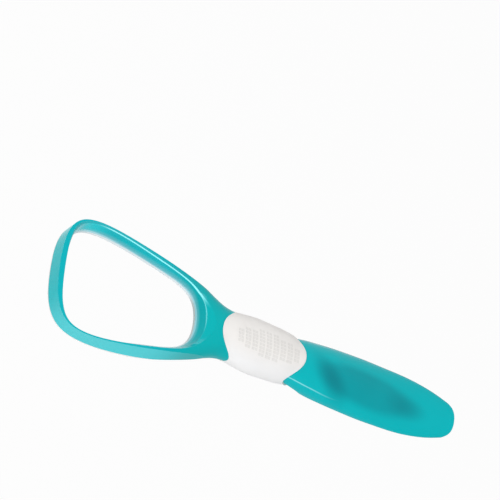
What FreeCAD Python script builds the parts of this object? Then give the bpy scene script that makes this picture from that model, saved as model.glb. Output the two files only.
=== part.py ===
"""Sock aid: a loop that holds a sock open, a soft grip and a shoe-horn blade, moulded in several shots.

Axes: +X runs from the blade's tip to the loop, +Z is up out of the coloured back, and the white front lies
below. The origin is under the middle of the object, on the surface that the grip's belly rests on.
Lengths along the tool are counted from the blade's tip, heights from the handle's axis.
"""
import FreeCAD, Part
import math
import os

from FreeCAD import Vector

SIZES = {
    # lengths along the tool
    "blade_length": 168.0,         # tip to the notches at the grip's sides
    "grip_length": 55.5,           # between the notches at the grip's sides
    "loop_length": 178.5,          # notches at the grip's sides to the loop's far end
    # blade
    "blade_width": 51.6,
    "blade_depth": 20.2,           # front face to the back, at the thick end
    "face_depth": 9.7,             # handle axis to the flat front face
    "tip_thickness": 2.0,
    "tip_lift": 4.5,               # how far the blade bends up out of its flat front at the tip
    "bend_length": 80.0,           # tip to where that bend begins
    "ring_depth": 1.6,
    "ring_margin": 4.4,            # coloured shoulder beside the ring
    "ring_tip_gap": 9.5,
    "window_tip_gap": 35.5,
    "window_length": 106.5,
    "window_width": 30.5,
    "window_recess": 1.1,
    # grip
    "grip_width": 48.4,
    "grip_thickness": 25.0,
    "sleeve_step": 0.9,            # sleeve's edge over the coloured body
    "core_width": 31.0,            # flat-sided core under the sleeve
    "core_thickness": 18.8,
    "core_chamfer": 6.4,
    "back_arch": 17.0,             # arch of the sleeve's edge towards the loop, on the back
    "front_arch": 20.8,            # the same on the front
    "blade_arch": 13.2,            # arch of the sleeve's edge towards the blade, on the back
    "front_tongue": 16.7,          # the same on the front, over the ring's neck
    "key_diameter": 7.0,
    "key_pitch": 24.0,
    "tread_depth": 0.8,            # crown of the sleeve to the flat field under its treads
    "tread_height": 0.5,
    "front_tread_pitch": 3.7,
    "front_tread_rows": 15,
    # loop
    "loop_width": 101.0,
    "neck_width": 41.0,
    "back_height": 13.2,           # handle axis to the back rim at the far end
    "front_depth": 7.2,            # handle axis to the front ridge at the middle of the branches
    "rim_wall": 0.9,
    "far_rim": 6.6,
    "opening_start": 34.9,         # notches at the grip's sides to the opening
    "far_gap": 16.1,               # opening to the loop's far end
    "branch_gap": 6.8,             # opening to the loop's side, at their widest
    "liner_wall": 2.4,             # lining's thickness at the opening
    "liner_ridge": 0.8,            # lining's thickness at the outer ridge
    "web_width": 30.0,             # white web between the coloured shoulders of the neck
}

doc = FreeCAD.newDocument("SockAid")
sheet = doc.addObject("Spreadsheet::Sheet", "Sizes")
for row, (alias, value) in enumerate(SIZES.items(), start=1):
    sheet.set("A%d" % row, alias)
    sheet.set("B%d" % row, str(value))
    sheet.setAlias("B%d" % row, alias)
doc.recompute()


def size(alias):
    return float(sheet.get(alias))


GRIP_START = size("blade_length")
GRIP_END = GRIP_START + size("grip_length")
FAR_END = GRIP_END + size("loop_length")
HALF_GRIP = size("grip_thickness") / 2
FIELD = HALF_GRIP - size("tread_depth")
BELLY = FIELD + size("tread_height")
FACE = -size("face_depth")
OUTSIDE = 30.0                     # height over or under the axis that is clear of the object
CUT_FLAT = 8.0                     # how much the blade's blank is fuller than its flat face


def place(x, y, z):
    """A point from its distance along the tool, its side offset and its height over the handle's axis."""
    return Vector(x - FAR_END / 2, y, z + BELLY)


def past(share):
    """The distance along the tool of a share of the loop, counted from the grip."""
    return GRIP_END + share * size("loop_length")


def feature(name, shape):
    made = doc.addObject("Part::Feature", name)
    made.Shape = shape
    return made


# ---------------------------------------------------------------- sections across the tool

def section(x, half_width, top, widest, bottom, fullness):
    """The pulling points of four quarter curves; the fullness of the back and front ones makes them squarer."""
    corners = [(half_width, widest), (0, top), (-half_width, widest), (0, bottom)]
    quarters = []
    for i in range(4):
        y0, z0 = corners[i]
        y1, z1 = corners[(i + 1) % 4]
        full = fullness[0] if i < 2 else fullness[1]
        if i % 2 == 0:
            pulls = [(y0, z0 + full * (z1 - z0)), (full * y0, z1)]
        else:
            pulls = [(full * y1, z0), (y1, z1 + full * (z0 - z1))]
        quarters.append([place(x, y, z) for y, z in [(y0, z0)] + pulls + [(y1, z1)]])
    return quarters


def end_cap(quarters):
    edges = []
    for poles in quarters:
        curve = Part.BezierCurve()
        curve.setPoles(poles)
        edges.append(curve.toShape())
    return Part.Face(Part.Wire(edges))


def skin(sections):
    """A solid whose smooth walls run exactly through the sections, closed by flat caps at both ends."""
    first = sections[0][0][0].x
    reach = sections[-1][0][0].x - first
    stations = [(quarters[0][0].x - first) / reach for quarters in sections]
    faces = [end_cap(sections[0]), end_cap(sections[-1])]
    for i in range(4):
        rows = []
        for j in range(4):
            row = Part.BSplineCurve()
            row.interpolate(Points=[quarters[i][j] for quarters in sections], Parameters=stations)
            rows.append(row)
        wall = Part.BSplineSurface()
        wall.buildFromPolesMultsKnots([row.getPoles() for row in rows], [4, 4], rows[0].getMultiplicities(),
                                      [0, 1], rows[0].getKnots(), False, False, 3, rows[0].Degree)
        faces.append(wall.toShape())
    shell = Part.Shell(faces)
    shell.sewShape()
    solid = Part.Solid(Part.Shell(shell.Faces))
    if solid.Volume < 0:
        solid.reverse()
    return solid


def lift(x):
    """How far the bend of the blade carries its front up at this distance from the tip."""
    return size("tip_lift") * max(0.0, 1 - x / size("bend_length")) ** 2


def blade_sections():
    """From the thin tip, a wedge with a flat front and a domed back, widest over the window's thick end."""
    half = size("blade_width") / 2
    depth = size("blade_depth")
    tip = size("tip_thickness")
    length = size("blade_length")
    made = []
    # share of the length, share of the width, share of the depth
    for along, wide, deep in ((-0.012, 0.46, 0.0), (0.05, 0.61, 0.045), (0.12, 0.76, 0.11), (0.22, 0.90, 0.20),
                              (0.32, 0.97, 0.32), (0.42, 0.99, 0.455), (0.53, 1.0, 0.61), (0.64, 0.98, 0.755),
                              (0.75, 0.945, 0.875), (0.85, 0.89, 0.95)):
        front = FACE + lift(along * length)
        top = front + tip + deep * (depth - tip)
        widest = front + 0.10 * along * (top - front)
        made.append(section(along * length, wide * half, top, widest, front - CUT_FLAT, (0.56, 0.80 - 0.06 * along)))
    return made


def body_sections():
    """The moulded body from tip to far end: blade, core under the grip, neck and blank of the loop."""
    start = GRIP_START
    end = GRIP_END
    edge = HALF_GRIP - size("sleeve_step")
    neck = size("neck_width") / 2
    blade = size("blade_width") / 2
    half = size("loop_width") / 2
    rim = size("back_height")
    low = -size("front_depth") - 2.3
    made = blade_sections()
    made += [
        section(start - 17, 0.85 * blade, 10.3, -7.4, FACE - 0.9, (0.57, 0.70)),
        section(start - 6, 0.77 * blade, edge - 0.6, -6.6, FACE - 0.9, (0.58, 0.62)),
        section((start + end) / 2, 0.72 * blade, edge - 0.6, -5.4, -edge + 0.9, (0.57, 0.57)),
        section(end, neck + 0.9, edge - 0.2, -2.8, -edge + 0.5, (0.58, 0.58)),
        section(end + 11, neck + 2.3, edge - 0.3, -2.2, -edge + 0.5, (0.62, 0.62)),
        section(end + 20, neck + 5.4, edge - 0.8, -1.6, -edge + 1.0, (0.68, 0.66)),
        section(end + 29, neck + 9.4, edge - 1.3, -0.8, -edge + 1.7, (0.74, 0.72)),
        section(end + 40, neck + 14.4, edge - 1.6, 0.2, low + 0.1, (0.80, 0.78)),
        section(end + 56, neck + 21.5, edge - 1.6, 1.2, low, (0.84, 0.84)),
        section(end + 80, half + 1, edge - 1.2, 1.5, low, (0.86, 0.86)),
        section(end + 112, half + 9, edge - 0.3, 1.5, low, (0.86, 0.86)),
        section(end + 146, half + 14, rim - 0.7, 1.5, low, (0.86, 0.86)),
        section(FAR_END + 6, half + 14, rim + 0.1, 1.5, low, (0.86, 0.86)),
    ]
    return made


def sleeve_sections():
    """The grip's outside: waisted at both ends, fullest a little past its middle towards the loop."""
    start = GRIP_START
    end = GRIP_END
    half = size("grip_width") / 2
    made = []
    # distance along, narrowing at the side, at the back and at the front, height of the widest line
    for x, side, back, front, widest in (
            (start - 24, 0.7, 1.6, 2.5, -7.2), (start - 15, 2.2, 1.0, 1.9, -7.0), (start - 6, 3.0, 0.6, 0.9, -6.8),
            (start + 4, 1.7, 0.1, 0.2, -6.5), (start + 19, 0.5, 0, 0, -6.0), (end - 21, 0, 0, 0, -5.4),
            (end - 9, 1.2, 0, 0, -4.6), (end + 1, 2.3, 0.2, 0.2, -3.8), (end + 12, 2.6, 0.4, 0.6, -2.9),
            (end + 26, 0.6, 0.8, 1.4, -1.8)):
        made.append(section(x, half - side, HALF_GRIP - back, widest, front - HALF_GRIP, (0.585, 0.62)))
    return made


# ---------------------------------------------------------------- outlines seen from above

def half_curve(points):
    """One half of an outline: a smooth cubic curve pulled by its points."""
    curve = Part.BSplineCurve()
    spans = len(points) - 3
    knots = [i / spans for i in range(spans + 1)]
    curve.buildFromPolesMultsKnots([place(*p) for p in points], [4] + [1] * (spans - 1) + [4], knots, False, 3)
    return curve.toShape()


def mirrored(points):
    return [(x, -y, z) for x, y, z in reversed(points)]


def closed_curve(points):
    """A closed curve from half of it, which starts and ends on the middle plane."""
    return Part.Wire([half_curve(points), half_curve(mirrored(points))])


def flat(points, z):
    return [(point[0], point[1], z) for point in points]


def between(first, second, share):
    """Points that lie on the lines from the first curve's points to the second's, at the share or past it."""
    return [tuple(a + share * (b - a) for a, b in zip(p, q)) for p, q in zip(first, second)]


def loop_points(shares):
    """Points round the loop from shares of its length and half width, and heights."""
    half = size("loop_width") / 2
    return [(past(along), across * half, z) for along, across, z in shares]


DEPTH = size("front_depth")
RIM = size("back_height")

# outer ridge of the front face, and outer edge of the back rim
front_ridge = loop_points([(0.112, 0.55, 0.3 - DEPTH), (0.332, 0.802, 0.3 - DEPTH), (0.568, 1.014, -DEPTH - 0.5),
                           (0.941, 1.032, 1.5 - DEPTH), (0.9866, 0.475, 1.8 - DEPTH), (0.9866, 0, 1.8 - DEPTH)])
back_rim = loop_points([(0.112, 0.48, RIM - 3.8), (0.306, 0.691, RIM - 3.8), (0.568, 0.891, RIM - 2.4),
                        (0.951, 1.103, RIM - 0.4), (1.0, 0.487, RIM), (1.0, 0, RIM)])


def opening_edge():
    """The narrowest line of the opening, where the white front face turns into the inner wall."""
    start = GRIP_END + size("opening_start")
    long = FAR_END - size("far_gap") - start
    half = size("loop_width") / 2 - size("branch_gap")
    shares = [(0, 0, -4.8), (0, 0.567, -4.8), (0.269, 0.688, -1.0), (1.072, 1.288, -8.7), (1, 0.386, -7.9),
              (1, 0, -7.9)]
    return [(start + along * long, across * half, z) for along, across, z in shares]


def dish_edge():
    """Outside the front ridge round the branches, and across the neck where the white face starts to dip."""
    start = GRIP_END + size("opening_start") - 9.7
    points = loop_points([(0, 0, -10.8), (0, 0.545, -10.8), (0.271, 0.816, 0.1 - DEPTH), (0.978, 1.283, 1.2 - DEPTH),
                          (1.004, 0.25, 2.2 - DEPTH), (1.004, 0, 2.2 - DEPTH)])
    return [(start, y, z) if i < 2 else (x, y, z) for i, (x, y, z) in enumerate(points)]


def inner_rim(shares, neck_gap, far_gap):
    """A line round the inside of the loop, its far end a gap inside the outer rim."""
    wall = size("rim_wall")
    start = GRIP_END + size("opening_start") - neck_gap
    far = FAR_END - far_gap
    points = loop_points(shares)
    made = [(x, y - wall if y else 0, z) for x, y, z in points]
    made[0] = (start, 0, made[0][2])
    made[1] = (start,) + made[1][1:]
    made[4] = (far,) + made[4][1:]
    made[5] = (far, 0, made[5][2])
    return made


crease = inner_rim([(0, 0, 8.5), (0, 0.566, 8.5), (0.432, 0.711, -0.4), (0.908, 1.150, 10.4), (1, 0.606, 10.4),
                    (1, 0, 10.4)], 4.5, size("far_rim"))
rim_edge = inner_rim([(0, 0, RIM - 2.3), (0, 0.491, RIM - 2.4), (0.439, 0.802, RIM - 2.4), (0.906, 1.115, RIM - 0.8),
                      (1, 0.715, RIM - 0.6), (1, 0, RIM - 0.6)], 13.4, size("far_rim") - 1.4)


def ruled(wires):
    return Part.makeLoft(wires, True, True)


def outline(z, share):
    """The object's outline: true at the tip and round the loop, clear of the blade, grip and neck between."""
    wide = size("loop_width")
    half = size("blade_width") / 2
    side = [(x, y, z) for x, y, _ in between(front_ridge, back_rim, share)]
    shares = [(0, 0), (0, 0.2907), (0.02381, 0.53488), (0.08333, 0.72093), (0.15476, 0.87597), (0.21429, 1.08527)]
    tip = [(along * size("blade_length"), across * half, z) for along, across in shares]
    lines = [tip[-1], (0.35 * size("blade_length"), wide, z), (side[0][0] - 1, wide, z), side[0]]
    back = [(x, -y, z) for x, y, z in reversed(lines)]
    edges = [half_curve(tip)]
    edges += [Part.makeLine(place(*a), place(*b)) for a, b in zip(lines, lines[1:])]
    edges += [half_curve(side), half_curve(mirrored(side))]
    edges += [Part.makeLine(place(*a), place(*b)) for a, b in zip(back, back[1:])]
    edges += [half_curve(mirrored(tip))]
    return Part.Wire(edges)


def outline_solid():
    """Between the outline's front and back copies, so that the loop's outer wall leans as the rails do."""
    ridge = 0.3 - DEPTH
    span = RIM - 2.4 - ridge
    low, high = -20.0, 20.0
    return ruled([outline(low, (low - ridge) / span), outline(high, (high - ridge) / span)])


def opening_solid():
    """What the loop leaves open: the dished front, the flared inside and the space over the back rim."""
    edge = opening_edge()
    dish = dish_edge()
    wires = [flat(between(edge, dish, 1.25), -OUTSIDE), dish, edge, crease, rim_edge, flat(rim_edge, OUTSIDE)]
    return ruled([closed_curve(points) for points in wires])


def lining_solid():
    """The layer behind the loop's white face, thin at the ridge and thicker at the opening."""
    edge = [(x, y, z + size("liner_wall")) for x, y, z in opening_edge()]
    dish = [(x, y, z + size("liner_ridge")) for x, y, z in dish_edge()]
    inside = [(x, 0.9 * y, 0) for x, y, _ in edge]
    wires = [flat(between(edge, dish, 1.25), -OUTSIDE), dish, edge, flat(inside, size("back_height"))]
    wires[3] = [(x + 4 if i < 2 else x - 4 if i > 3 else x, y, z) for i, (x, y, z) in enumerate(wires[3])]
    return ruled([closed_curve(points) for points in wires])


def prism(points, low, high):
    """An upright prism over a closed outline given by half of it."""
    face = Part.Face(closed_curve(flat(points, low)))
    return face.extrude(Vector(0, 0, high - low))


def side_prism(points, half_width):
    """A prism across the tool over a closed outline in the middle plane; three points make a parabola."""
    edges = []
    for part in points:
        curve = Part.BezierCurve()
        curve.setPoles([place(x, -half_width, z) for x, z in part])
        edges.append(curve.toShape())
    face = Part.Face(Part.Wire(edges))
    return face.extrude(Vector(0, 2 * half_width, 0))


# ---------------------------------------------------------------- hull: the hard body before its white shots


def sleeve_span():
    """Between the sleeve's edges, which arch along the back and the front and dip at the sides."""
    start = GRIP_START
    end = GRIP_END
    past = 1.3                     # share of the half thickness that the parabolas run to
    out = past * HALF_GRIP
    back = end + past ** 2 * size("back_arch")
    front = end + past ** 2 * size("front_arch")
    back_low = start - past ** 2 * size("blade_arch")
    front_low = start - past ** 2 * size("front_tongue")
    sides = [[(start, 0), (start, out / 2), (back_low, out)], [(back_low, out), (back, out)],
             [(back, out), (end, out / 2), (end, 0)], [(end, 0), (end, -out / 2), (front, -out)],
             [(front, -out), (front_low, -out)], [(front_low, -out), (start, -out / 2), (start, 0)]]
    return side_prism(sides, size("loop_width") / 2)


def front_layer(depth):
    """All that is nearer the front than this depth in the blade: its face is flat, and bends up to the tip."""
    start = -10.0
    flat_from = size("bend_length")
    last = GRIP_START - 8
    level = FACE + depth
    sides = [[(start, level + lift(start)), ((start + flat_from) / 2, level), (flat_from, level)],
             [(flat_from, level), (last, level)], [(last, level), (last, -OUTSIDE)],
             [(last, -OUTSIDE), (start, -OUTSIDE)], [(start, -OUTSIDE), (start, level + lift(start))]]
    return side_prism(sides, size("blade_width"))


blank = feature("body_blank", skin(body_sections()).common(outline_solid()))
opening = feature("opening_tool", opening_solid())
span = feature("sleeve_span", sleeve_span())

core_bar = doc.addObject("Part::Box", "core_bar")
core_bar.setExpression("Length", "Sizes.grip_length + 60")
core_bar.setExpression("Width", "Sizes.core_width")
core_bar.setExpression("Height", "Sizes.core_thickness")
core_bar.Placement.Base = place(GRIP_START - 30, -size("core_width") / 2, -size("core_thickness") / 2)
doc.recompute()
long_edges = [i for i, edge in enumerate(core_bar.Shape.Edges, start=1)
              if abs(edge.tangentAt(edge.FirstParameter).x) > 0.9]
core = doc.addObject("Part::Chamfer", "core")
core.Base = core_bar
core.Edges = [(i, size("core_chamfer"), 0.8 * size("core_chamfer")) for i in long_edges]
room = doc.addObject("Part::Cut", "sleeve_room")
room.Base = span
room.Tool = core

# the blade's front is faced off, as far as the grip's tongue
facing = feature("facing", front_layer(0.0))

hull_cuts = doc.addObject("Part::MultiFuse", "hull_cuts")
hull_cuts.Shapes = [opening, room, facing]
hull = doc.addObject("Part::Cut", "hull")
hull.Base = blank
hull.Tool = hull_cuts

# ---------------------------------------------------------------- lining: the white web of the neck and loop


def web_prism():
    """The white web: between the neck's shoulders, and spreading to the ridge along the branches."""
    half = size("web_width") / 2
    start = GRIP_END - 6
    wide = size("loop_width") / 2
    points = [(start, 0), (start, 0.9 * half), (start + 8, half), (past(0.12325), 0.96667 * half),
              (past(0.2465), 0.49505 * wide), (past(0.34734), 0.73267 * wide), (past(0.56022), 1.0099 * wide),
              (past(1.22409), 2 * wide), (past(1.33613), wide), (past(1.33613), 0)]
    return prism(points, -OUTSIDE, OUTSIDE)


def web_layer():
    """Side view of the web's layer: it follows the neck's front surface from the grip to the opening."""
    wall = size("liner_wall")
    edge = HALF_GRIP - size("sleeve_step")
    last = GRIP_END + size("opening_start") + 4
    start = GRIP_END - 6
    corners = [(start, wall - edge + 0.4), (GRIP_END + 11, wall - edge + 0.5), (GRIP_END + 20, wall - edge + 1.0),
               (last, wall - edge + 3.0), (last, -OUTSIDE), (start, -OUTSIDE)]
    sides = [(corners[i], corners[(i + 1) % len(corners)]) for i in range(len(corners))]
    return side_prism(sides, size("loop_width") / 2)


lining_layer = feature("lining_layer", lining_solid().fuse(web_prism().common(web_layer())))
loop_liner = doc.addObject("Part::Common", "loop_liner")
loop_liner.Base = hull
loop_liner.Tool = lining_layer

# ---------------------------------------------------------------- grip: soft sleeve keyed through the core


def tread_bars():
    """Cross bars on the flat of the grip's front, longest at mid field."""
    middle = (GRIP_START + GRIP_END) / 2
    root = FIELD - 1.5
    high = BELLY - root
    pitch = size("front_tread_pitch")
    rows = int(size("front_tread_rows"))
    bars = []
    for i in range(rows):
        x = middle + (i - (rows - 1) / 2) * pitch
        share = (2 * i + 1 - rows) / rows
        wide = 0.46 * size("grip_width") * math.sqrt(1 - share ** 2)
        bars.append(Part.makeBox(0.5 * pitch, wide, high, place(x - 0.25 * pitch, -wide / 2, -BELLY)))
    return bars


outside = skin(sleeve_sections()).common(span.Shape)
over_field = Part.makeBox(2 * FAR_END, 2 * size("loop_width"), 2 * OUTSIDE,
                          place(-FAR_END / 2, -size("loop_width"), -FIELD))
sleeve_outside = feature("sleeve_outside", outside.common(over_field).fuse(tread_bars()))
sleeve = doc.addObject("Part::Cut", "sleeve")
sleeve.Base = sleeve_outside
sleeve.Tool = core

keys = []
for side in (-0.5, 0.5):
    key = doc.addObject("Part::Cylinder", "key")
    key.setExpression("Radius", "Sizes.key_diameter / 2")
    key.setExpression("Height", "Sizes.core_thickness + 1")
    key.Placement.Base = place((GRIP_START + GRIP_END) / 2, 0, -size("core_thickness") / 2 - 0.5)
    key.setExpression("Placement.Base.x",
                      "(Sizes.blade_length - Sizes.loop_length) / 2 + %s * Sizes.key_pitch" % side)
    keys.append(key)
plugs = doc.addObject("Part::MultiFuse", "plugs")
plugs.Shapes = keys
grip_sleeve = doc.addObject("Part::MultiFuse", "grip_sleeve")
grip_sleeve.Shapes = [sleeve, plugs]

# ---------------------------------------------------------------- ring on the blade's front


def ring_outline():
    """Rounded towards the tip, widest beside the window, and drawn in to a neck under the sleeve."""
    start = size("ring_tip_gap")
    half = size("blade_width") / 2 - size("ring_margin")
    long = size("blade_length")
    last = GRIP_START - 9
    return [(start, 0), (start, 0.40 * half), (0.17857 * long, 0.56 * half), (0.38095 * long, 1.08 * half),
            (0.67857 * long, 1.08 * half), (0.80952 * long, 0.84 * half), (last - 1, 0.62 * half),
            (last, 0.3 * half), (last, 0)]


def window_outline():
    """A long lens, rounder towards the tip."""
    start = size("window_tip_gap")
    long = size("window_length")
    half = size("window_width") / 2
    shares = [(0, 0), (0, 0.58), (0.22, 1.10), (0.62, 1.34), (0.93, 0.52), (1, 0.12), (1, 0)]
    return [(start + along * long, across * half) for along, across in shares]


ring_layer = feature("ring_layer", prism(ring_outline(), -OUTSIDE, OUTSIDE).common(front_layer(size("ring_depth"))))
window = feature("window", prism(window_outline(), -OUTSIDE, OUTSIDE).common(front_layer(size("window_recess"))))
window_through = feature("window_through", prism(window_outline(), -OUTSIDE, OUTSIDE))
ring_blank = doc.addObject("Part::Common", "ring_blank")
ring_blank.Base = hull
ring_blank.Tool = ring_layer
blade_ring = doc.addObject("Part::Cut", "blade_ring")
blade_ring.Base = ring_blank
blade_ring.Tool = window_through

# ---------------------------------------------------------------- coloured body: the hull without the white shots

shots = doc.addObject("Part::MultiFuse", "white_shots")
shots.Shapes = [lining_layer, plugs, window, blade_ring]
coloured_body = doc.addObject("Part::Cut", "coloured_body")
coloured_body.Base = hull
coloured_body.Tool = shots

doc.recompute()

# ---------------------------------------------------------------- files

parts = {"coloured_body": coloured_body, "loop_liner": loop_liner, "grip_sleeve": grip_sleeve,
         "blade_ring": blade_ring}
for made in doc.Objects:
    if "Invalid" in made.State or "Error" in made.State:
        raise RuntimeError("%s is in a bad state" % made.Name)
os.makedirs("parts", exist_ok=True)
for name, made in parts.items():
    made.Label = name
    if made.Shape.isNull() or not made.Shape.isValid() or len(made.Shape.Solids) != 1:
        raise RuntimeError("%s isn't one sound solid" % name)
    made.Shape.exportStep("parts/%s.step" % name)
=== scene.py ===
from math import cos, radians, sin

import bpy
from mathutils import Matrix, Vector


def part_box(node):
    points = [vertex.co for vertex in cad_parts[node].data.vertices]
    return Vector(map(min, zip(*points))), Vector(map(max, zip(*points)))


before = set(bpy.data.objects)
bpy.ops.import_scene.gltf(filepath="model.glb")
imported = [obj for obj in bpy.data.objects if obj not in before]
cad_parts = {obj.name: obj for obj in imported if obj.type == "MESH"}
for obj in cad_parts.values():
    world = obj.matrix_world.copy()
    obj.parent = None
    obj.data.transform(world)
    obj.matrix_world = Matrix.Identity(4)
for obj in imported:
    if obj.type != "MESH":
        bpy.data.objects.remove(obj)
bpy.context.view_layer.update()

# ---------------------------------------------------------------- coloured body
# One moulding from the blade's tip to the far end of the loop, in a glossy teal plastic that lets light
# through where it is thin. The blade is solid; behind the window on its front the plastic looks darker
# from the back.


class Wire:
    """A socket of a material's node tree that can be written into sums."""

    def __init__(self, tree, socket):
        self.tree = tree
        self.socket = socket

    def node(self, kind, inputs, output=0, **settings):
        """Adds a node with these settings, then its inputs by name or number, as values or wires."""
        added = self.tree.nodes.new(kind)
        for name, value in settings.items():
            setattr(added, name, value)
        for name, value in inputs.items():
            if isinstance(value, Wire):
                self.tree.links.new(value.socket, added.inputs[name])
            else:
                added.inputs[name].default_value = value
        return Wire(self.tree, added.outputs[output])

    def maths(self, operation, first, second=0.0):
        return self.node("ShaderNodeMath", {0: first, 1: second}, operation=operation)

    def vector(self, operation, other, output=0):
        return self.node("ShaderNodeVectorMath", {0: self, 1: other}, output=output, operation=operation)

    def __add__(self, other):
        return self.maths("ADD", self, other)

    __radd__ = __add__

    def __sub__(self, other):
        return self.maths("SUBTRACT", self, other)

    def __rsub__(self, other):
        return self.maths("SUBTRACT", other, self)

    def __mul__(self, other):
        return self.maths("MULTIPLY", self, other)

    __rmul__ = __mul__

    def __truediv__(self, other):
        return self.maths("DIVIDE", self, other)

    def __pow__(self, other):
        return self.maths("POWER", self, other)

    def __abs__(self):
        return self.maths("ABSOLUTE", self)

    def floor(self):
        return self.maths("FLOOR", self)

    def at_most(self, other):
        return self.maths("MINIMUM", self, other)

    def dot(self, other):
        return self.vector("DOT_PRODUCT", other, output=1)

    def rise(self, none, full):
        """0 at the first value, 1 at the second, and smooth between; either may be the higher one."""
        return self.node("ShaderNodeMapRange", {"Value": self, "From Min": none, "From Max": full},
                         interpolation_type="SMOOTHSTEP")

    def lay(self, tint, ground, share=1.0):
        """The ground where this is 0, and this share of the tint over it where this is 1."""
        return self.node("ShaderNodeMix", {0: self * share, 6: ground, 7: tint}, output=2, data_type="RGBA")


class Finish:
    """A material with one shader, and the wires that its looks are worked out from."""

    def __init__(self, name, **constants):
        self.material = bpy.data.materials.new(name)
        self.material.use_nodes = True
        self.tree = self.material.node_tree
        self.tree.nodes.clear()
        output = self.tree.nodes.new("ShaderNodeOutputMaterial")
        self.shader = self.tree.nodes.new("ShaderNodeBsdfPrincipled")
        self.tree.links.new(self.shader.outputs["BSDF"], output.inputs["Surface"])
        for name, value in constants.items():
            self.shader.inputs[name.replace("_", " ")].default_value = value
        self.start = Wire(self.tree, self.shader.outputs[0])
        self.place = self.start.node("ShaderNodeTexCoord", {}, output="Object")
        self.direction = self.start.node("ShaderNodeTexCoord", {}, output="Normal")
        self.along, self.across, self.height = [
            self.start.node("ShaderNodeSeparateXYZ", {0: self.place}, output=axis) for axis in "XYZ"]

    def noise(self, scale, detail=2.0):
        return self.start.node("ShaderNodeTexNoise", {"Vector": self.place, "Scale": scale, "Detail": detail})

    def edges(self, radius):
        """1 on crisp edges and in creases, fading over the radius, and 0 on smooth walls."""
        rounded = self.start.node("ShaderNodeBevel", {"Radius": radius}, samples=12)
        plain = self.start.node("ShaderNodeNewGeometry", {}, output="Normal")
        return (1 - rounded.dot(plain)).rise(0.003, 0.06)

    def faces(self, way, none, full):
        """Rises on walls that look this way, between the cosines of two angles from it."""
        return self.direction.dot(way).rise(none, full)

    def faces_out(self, middle):
        """1 on walls that look straight away from the middle of the loop, -1 on those that look at it."""
        outward = self.place.vector("SUBTRACT", (middle, 0, 0)).vector("MULTIPLY", (1, 1, 0))
        return outward.vector("NORMALIZE", (0, 0, 0)).dot(self.direction)

    def feed(self, name, wire):
        self.tree.links.new(wire.socket, self.shader.inputs[name])

    def dress(self, node):
        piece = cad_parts[node]
        piece.data.materials.clear()
        piece.data.materials.append(self.material)


def oval(along, across, reach):
    """How far out in an oval patch a place is: 0 in its middle, 1 on its edge and more outside."""
    return ((along / reach[0]) ** 2 + (across / reach[1]) ** 2) ** 0.5


body_start, body_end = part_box("coloured_body")
ring_start, ring_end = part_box("blade_ring")
sleeve_start, sleeve_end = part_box("grip_sleeve")

# Places along the tool are taken from the tip. The grip's are the notches at its sides.
TIP = body_start[0]
WINDOW = (ring_start[0] + 0.0260 - TIP, ring_end[0] - 0.0170 - TIP)
GRIP = (sleeve_start[0] + 0.0126 - TIP, sleeve_end[0] - 0.0179 - TIP)
OPENING = (GRIP[1] + 0.0349, body_end[0] - 0.0164 - TIP)
LOOP_MIDDLE = sum(OPENING) / 2 + TIP
AXIS_HEIGHT = sleeve_start[2] + 0.0122

TEAL = (0.0, 0.440, 0.480, 1)
DEEP_TEAL = (0.0, 0.280, 0.325, 1)
DARK_TEAL = (0.0, 0.170, 0.210, 1)
PALE_TEAL = (0.0, 0.480, 0.540, 1)
NECK_TEAL = (0.0, 0.330, 0.325, 1)
MISTY_TEAL = (0.16, 0.46, 0.52, 1)
MILKY_TEAL = (0.48, 0.70, 0.76, 1)
LIT_TEAL = (0.0, 0.61, 0.66, 1)
EDGE_GLINT_TEAL = (0.36, 0.86, 0.90, 1)
GLINT_TEAL = (0.32, 0.95, 0.98, 1)

teal = Finish("glossy teal plastic", Specular_IOR_Level=0.12)
from_tip = teal.along - TIP
cloud = teal.noise(26.0).rise(0.35, 0.65)

# Paler and cloudy round the loop, a little greener on the thick neck. Each pair of places says where
# a shade starts and where it is full.
LOOP_PALES = (GRIP[1] + 0.030, OPENING[0] + 0.050)
NECK_STARTS = (GRIP[1] - 0.0185, GRIP[1] + 0.0115)
NECK_ENDS = (OPENING[0] + 0.0366, OPENING[0] + 0.0036)

loop_share = from_tip.rise(*LOOP_PALES)
colour = (loop_share * (0.75 + 0.25 * cloud)).lay(PALE_TEAL, TEAL)
neck = from_tip.rise(*NECK_STARTS) * from_tip.rise(*NECK_ENDS)
colour = neck.lay(NECK_TEAL, colour, share=0.5)

# Darker behind the window, most in a slanting patch by the grip and in one by the tip. Each patch has
# its middle along and across the tool, its reach both ways, and how far out it starts and is full.
WINDOW_SHADE = (sum(WINDOW) / 2 + 0.001, 0.0033)
WINDOW_SHADE_REACH = ((WINDOW[1] - WINDOW[0]) / 2, 0.0152)
FIRM_EDGE = (1.22, 0.70)
GRIP_SHADE = (0.1270, 0.0070)
GRIP_SHADE_REACH = (0.026, 0.012)
GRIP_SHADE_SLANT = radians(-37.7)
TIP_SHADE = (0.0480, 0.0035)
TIP_SHADE_REACH = (0.022, 0.011)
SOFT_EDGE = (1.2, 0.1)


def patch(middle, reach, edge, slant=0.0):
    """1 inside an oval patch of the blade that is turned by the slant, and 0 outside its edge."""
    ahead = from_tip - middle[0]
    beside = teal.across - middle[1]
    lengthwise = cos(slant) * ahead + sin(slant) * beside
    crosswise = cos(slant) * beside - sin(slant) * ahead
    return oval(lengthwise, crosswise, reach).rise(*edge)


window_shade = patch(WINDOW_SHADE, WINDOW_SHADE_REACH, FIRM_EDGE)
colour = (window_shade * (0.62 + 0.10 * cloud)).lay(DEEP_TEAL, colour)
grip_shade = patch(GRIP_SHADE, GRIP_SHADE_REACH, SOFT_EDGE, slant=GRIP_SHADE_SLANT)
colour = grip_shade.lay(DARK_TEAL, colour, share=0.62)
colour = patch(TIP_SHADE, TIP_SHADE_REACH, SOFT_EDGE).lay(DARK_TEAL, colour, share=0.35)
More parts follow.
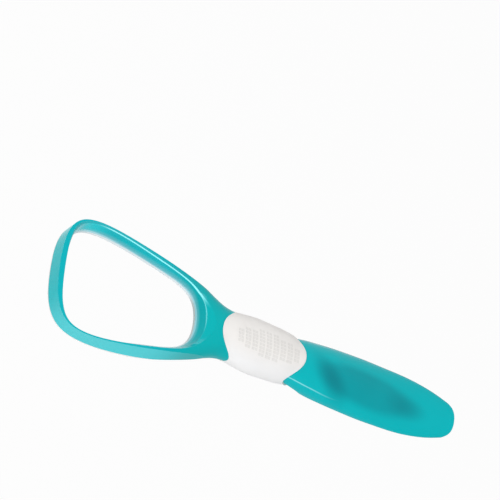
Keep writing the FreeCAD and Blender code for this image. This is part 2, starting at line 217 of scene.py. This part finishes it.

# The wall of the opening thins towards the lining at its foot, so it turns misty and then milky there,
# and both bands are painted higher and stronger on the branch that faces the lamp, as painted light.
# Away from the loop's far end the wall is darkened with painted shade, and by the far end painted light
# stands for daylight coming through it. The foot is higher by the neck than at the far end, and the two
# bands are heights over it.
LAMP_BRANCH = (-0.012, -0.026)
INNER_WALL = (-0.15, -0.55)
SHADED_WALL = (OPENING[1] - 0.006, OPENING[1] - 0.041)
LIT_WALL = (OPENING[1] - 0.034, OPENING[1] - 0.008)
FOOT_HEIGHT = AXIS_HEIGHT - 0.0020
FOOT_DROP = 0.0015
MISTY_BAND = (0.0046, 0.0010)
MISTY_LIFT = 0.0022
MILKY_BAND = (0.0014, 0.0004)
MILKY_LIFT = 0.0012

far_share = from_tip.rise(*OPENING)
lamp_branch = teal.across.rise(*LAMP_BRANCH)
faces_out = teal.faces_out(LOOP_MIDDLE)
faces_in = faces_out.rise(*INNER_WALL)
over_foot = teal.height - FOOT_HEIGHT + FOOT_DROP * far_share
# painted shade on the wall of the opening, fading out by the far end
colour = (faces_in * from_tip.rise(*SHADED_WALL)).lay(DEEP_TEAL, colour, share=0.35)
misty = over_foot.rise(MISTY_BAND[0] + MISTY_LIFT * lamp_branch, MISTY_BAND[1])
colour = (misty * (0.6 + 0.25 * lamp_branch) * faces_in).lay(MISTY_TEAL, colour)
colour = (from_tip.rise(*LIT_WALL) * faces_in).lay(LIT_TEAL, colour, share=0.6)
milky = over_foot.rise(MILKY_BAND[0] + MILKY_LIFT * lamp_branch, MILKY_BAND[1])
colour = (milky * (0.5 + 0.3 * lamp_branch) * faces_in).lay(MILKY_TEAL, colour)

# daylight comes through the loop's thin outer wall, most on the other branch
OUTER_WALL = (0.25, 0.65)
OTHER_BRANCH = (0.020, 0.040)

outer_wall = faces_out.rise(*OUTER_WALL) * loop_share
colour = outer_wall.lay(LIT_TEAL, colour, share=0.8)
colour = (outer_wall * teal.across.rise(*OTHER_BRANCH)).lay(MILKY_TEAL, colour, share=0.13)

# The rim on the back is darkened with painted shade, and on the branch that faces the lamp so is the wall of
# the opening down to the glint. A painted glint follows a crease over that wall, which climbs to the far end;
# it lies lower on the branch that faces the lamp, and the crisp edges under it by the neck get a painted
# glint too.
RIM_UP = (0.60, 0.85)
RIM_STARTS = (OPENING[0], OPENING[0] + 0.030)
RIM_FOOT = (-0.0004, 0.0006)
CREASE_HEIGHT = AXIS_HEIGHT + 0.0089
CREASE_CLIMB = 0.0024
GLINT_DROP = 0.0022
GLINT_WIDTH = (0.0010, 0.0004)
GLINT_ENDS = (OPENING[1] - 0.014, OPENING[1] - 0.034)
NECK_GLINT_TOP = (0.0003, -0.0003)
NECK_GLINT_FOOT = (-0.0095, -0.0080)
NECK_GLINT_SIDE = (0.011, -0.005)

over_glint = teal.height - CREASE_HEIGHT - CREASE_CLIMB * far_share + GLINT_DROP * lamp_branch
faces_up = teal.faces((0, 0, 1), *RIM_UP)
rim_shade = faces_up * from_tip.rise(*RIM_STARTS) + over_glint.rise(*RIM_FOOT) * faces_in * lamp_branch
colour = rim_shade.at_most(1.0).lay(DEEP_TEAL, colour, share=0.45)
branch_glint = abs(over_glint).rise(*GLINT_WIDTH) * faces_in * lamp_branch
neck_glint = over_glint.rise(*NECK_GLINT_TOP) * over_glint.rise(*NECK_GLINT_FOOT) * teal.edges(0.0018)
neck_glint = neck_glint * (1 - lamp_branch) * teal.across.rise(*NECK_GLINT_SIDE) * 0.55
glint = (branch_glint + neck_glint) * from_tip.rise(*GLINT_ENDS)
colour = glint.lay(GLINT_TEAL, colour, share=0.95)
# a faint painted highlight on every crisp edge and crease
colour = teal.edges(0.0004).lay(EDGE_GLINT_TEAL, colour, share=0.12)

# A thin painted highlight line climbs along the blade's thick sides to the grip, and the side away from the
# lamp is painted in shade.
FLANK_GLINT_HEIGHT = 0.0125
FLANK_GLINT_CLIMB = 0.0018
FLANK_GLINT_CLIMBS = (GRIP[0] - 0.048, GRIP[0] - 0.008)
FLANK_GLINT_WIDTH = (0.0006, 0.0003)
FLANK_GLINT_STARTS = (GRIP[0] - 0.058, GRIP[0] - 0.018)
FLANK_GLINT_ENDS = (GRIP[0] + 0.012, GRIP[0] + 0.002)
DIM_SIDE = (0.70, 0.90)
DIM_SIDE_ENDS = (GRIP[0] + 0.012, GRIP[0] - 0.010)

over_flank_glint = teal.height - FLANK_GLINT_HEIGHT - FLANK_GLINT_CLIMB * from_tip.rise(*FLANK_GLINT_CLIMBS)
flank_glint = abs(over_flank_glint).rise(*FLANK_GLINT_WIDTH) * (1 - faces_up)
flank_glint = flank_glint * from_tip.rise(*FLANK_GLINT_STARTS) * from_tip.rise(*FLANK_GLINT_ENDS)
# the painted highlight line on the blade's sides
colour = flank_glint.lay(EDGE_GLINT_TEAL, colour, share=0.5)
dim_side = teal.faces((0, -1, 0), *DIM_SIDE) * from_tip.rise(*DIM_SIDE_ENDS)
colour = dim_side.lay(DARK_TEAL, colour, share=0.5)

teal.feed("Base Color", colour)
teal.feed("Roughness", 0.18 + 0.04 * teal.noise(40.0))
teal.dress("coloured_body")

# ---------------------------------------------------------------- loop lining
# A hard white shot on the front of the loop and neck, fused to the coloured plastic. It shows as a pale
# rim at the front edge of the opening, cooler where daylight comes through and shaded on the side by the
# neck.

WHITE = (0.78, 0.775, 0.77, 1)
BRIGHT_WHITE = (0.83, 0.825, 0.82, 1)
INSIDE_WHITE = (0.66, 0.72, 0.75, 1)
SHADED_WHITE = (0.42, 0.47, 0.47, 1)
BY_NECK = (0.5, 0.9)
INSIDE = (-0.55, -0.80)

hard_white = Finish("satin white plastic", Specular_IOR_Level=0.5)
colour = hard_white.noise(35.0).rise(0.3, 0.7).lay(BRIGHT_WHITE, WHITE)
inside_colour = hard_white.faces((1, 0, 0), *BY_NECK).lay(SHADED_WHITE, INSIDE_WHITE)
colour = hard_white.faces_out(LOOP_MIDDLE).rise(*INSIDE).lay(inside_colour, colour)
hard_white.feed("Base Color", colour)
hard_white.feed("Roughness", 0.30 + 0.08 * hard_white.noise(90.0))
hard_white.dress("loop_liner")

# ---------------------------------------------------------------- blade ring
# A flat ring of the same hard white, let flush into the blade's front round its oval window, with a
# neck that ends under the grip.

hard_white.dress("blade_ring")

# ---------------------------------------------------------------- grip
# A soft white sleeve moulded over the core and keyed through it. Its back has a lens of small flat
# dents in columns, and its front has raised bars across it.

SOFT_WHITE = (0.785, 0.765, 0.745, 1)
WORN_WHITE = (0.745, 0.725, 0.705, 1)
LIT_SIDE_WHITE = (0.815, 0.82, 0.83, 1)
DENT_SHADE_WHITE = (0.62, 0.61, 0.59, 1)
LIT_SIDE = (0.1, 0.8)

soft_white = Finish("soft matt white rubber", Specular_IOR_Level=0.3, Subsurface_Weight=0.08,
                    Subsurface_Scale=0.003, Subsurface_Radius=(1.0, 0.9, 0.85))
colour = soft_white.noise(48.0, detail=3.0).rise(0.3, 0.7).lay(WORN_WHITE, SOFT_WHITE)
# painted light: the sleeve's walls that look towards the low lamp are lighter
colour = soft_white.faces((0, 1, 0), *LIT_SIDE).lay(LIT_SIDE_WHITE, colour, share=0.8)

# The field of dents has its middle, its reach and its cells along and across the tool, and its columns
# slant a little. The walls of a dent, its ends and the shallow line down it are in cells off its middle.
TREAD_MIDDLE = (0.1932, 0.0010)
TREAD_REACH = (0.0305, 0.0112)
CRISP_EDGE = (1.01, 0.99)
CELL = (0.0069, 0.0029)
COLUMN_SLANT = 0.1
DENT_WALLS = (0.43, 0.33)
DENT_ENDS = (0.46, 0.28)
DENT_LINE = (0.02, 0.08)
DENT_DEPTH = 0.0003
BACK_HEIGHT = (0.018, 0.020)

aside = soft_white.across - TREAD_MIDDLE[1]
cells_along = (soft_white.along - TIP - TREAD_MIDDLE[0] + COLUMN_SLANT * aside) / CELL[0] + 0.5
cells_across = aside / CELL[1]
column = cells_along.floor()
row = cells_across.floor()
off_column = abs(cells_along - column - 0.5)
off_row = abs(cells_across - row - 0.5)
dent = off_column.rise(*DENT_WALLS) * (0.55 + 0.45 * off_column.rise(*DENT_LINE)) * off_row.rise(*DENT_ENDS)
field = oval(column * CELL[0], (row + 0.5) * CELL[1], TREAD_REACH).rise(*CRISP_EDGE)
dents = field * soft_white.height.rise(*BACK_HEIGHT) * dent
# the dents are also painted darker, as painted shade in them
soft_white.feed("Base Color", dents.lay(DENT_SHADE_WHITE, colour, share=0.42))
soft_white.feed("Roughness", 0.52 + 0.12 * soft_white.noise(300.0))
relief = 0.12 * soft_white.noise(1400.0, detail=1.0) - dents
bump = soft_white.start.node("ShaderNodeBump", {"Strength": 0.6, "Distance": DENT_DEPTH, "Height": relief})
soft_white.feed("Normal", bump)
soft_white.dress("grip_sleeve")

# ---------------------------------------------------------------- studio
# A plain white floor well below the tool, a white room, and soft lamps: two large ones over the back, a
# low one at the side, and a narrow one that draws a line of light.

FLOOR_DROP = 0.80
FLOOR_REACH = 3.0
FLOOR_GREY = 0.80
FLOOR_GLOW = 0.94                  # the rest still takes the tool's shadow
ROOM_LIGHT = 0.32


def in_view(start):
    """1 for a ray that the camera sees, straight or in something glossy or clear, and 0 for the rest."""
    camera_ray, glossy_ray, clear_ray = [
        start.node("ShaderNodeLightPath", {}, output=name)
        for name in ("Is Camera Ray", "Is Glossy Ray", "Is Transmission Ray")]
    return (camera_ray + glossy_ray + clear_ray).at_most(1.0)


white_floor = Finish("white floor", Roughness=0.9, Base_Color=(FLOOR_GREY, FLOOR_GREY, FLOOR_GREY, 1))
glow = white_floor.start.node("ShaderNodeEmission", {"Color": (1, 1, 1, 1), "Strength": 1.0})
blend = white_floor.start.node("ShaderNodeMixShader", {
    0: FLOOR_GLOW * in_view(white_floor.start), 1: white_floor.start, 2: glow})
output = white_floor.tree.nodes["Material Output"]
white_floor.tree.links.new(blend.socket, output.inputs["Surface"])

floor_mesh = bpy.data.meshes.new("floor")
corners = [(x * FLOOR_REACH, y * FLOOR_REACH, 0) for x, y in ((-1, -1), (1, -1), (1, 1), (-1, 1))]
floor_mesh.from_pydata(corners, [], [(0, 1, 2, 3)])
floor_mesh.materials.append(white_floor.material)
floor = bpy.data.objects.new("floor", floor_mesh)
floor.location.z = -FLOOR_DROP
bpy.context.scene.collection.objects.link(floor)

room = bpy.data.worlds.new("room")
room.use_nodes = True
air = room.node_tree.nodes["Background"]
air.inputs["Color"].default_value = (1, 1, 1, 1)
strength = ROOM_LIGHT + (1 - ROOM_LIGHT) * in_view(Wire(room.node_tree, air.outputs[0]))
room.node_tree.links.new(strength.socket, air.inputs["Strength"])
bpy.context.scene.world = room


def soft_lamp(name, place, width, height, power):
    """A rectangular lamp that looks at the tool's middle."""
    data = bpy.data.lights.new(name, "AREA")
    data.shape = "RECTANGLE"
    data.size = width
    data.size_y = height
    data.energy = power
    lamp = bpy.data.objects.new(name, data)
    lamp.location = place
    lamp.rotation_euler = (-Vector(place)).to_track_quat("-Z", "Y").to_euler()
    bpy.context.scene.collection.objects.link(lamp)


soft_lamp("front lamp", (0.9, 0.9, 1.3), width=1.2, height=1.2, power=25.5)
soft_lamp("side lamp", (0.6, -1.3, 0.9), width=1.0, height=1.0, power=15.0)
soft_lamp("low lamp", (0.1, 1.5, 0.3), width=0.9, height=0.5, power=3.6)
soft_lamp("strip lamp", (-0.36, 1.12, 0.56), width=0.06, height=0.9, power=1.0)

# ---------------------------------------------------------------- camera
# A long lens, looking down on the coloured back from beyond the loop, with the blade pointing away to
# the right. Its right and up are directions of the tool, and it looks at a point near the grip.

RIGHT = Vector((-0.822, -0.136, 0.553))
UP = Vector((0.311, -0.920, 0.236))
AIM = Vector((-0.0195, -0.106, -0.0605 + AXIS_HEIGHT))
VIEW_WIDTH = 0.408
DISTANCE = 2.0

right = RIGHT.normalized()
up = (UP - right * UP.dot(right)).normalized()
away = right.cross(up)
lens = bpy.data.cameras.new("camera")
lens.type = "ORTHO"
lens.ortho_scale = VIEW_WIDTH
camera = bpy.data.objects.new("camera", lens)
turn = Matrix((right, up, away)).transposed().to_4x4()
camera.matrix_world = Matrix.Translation(AIM + away * DISTANCE) @ turn
bpy.context.scene.collection.objects.link(camera)
bpy.context.scene.camera = camera
bpy.context.scene.view_settings.view_transform = "Standard"
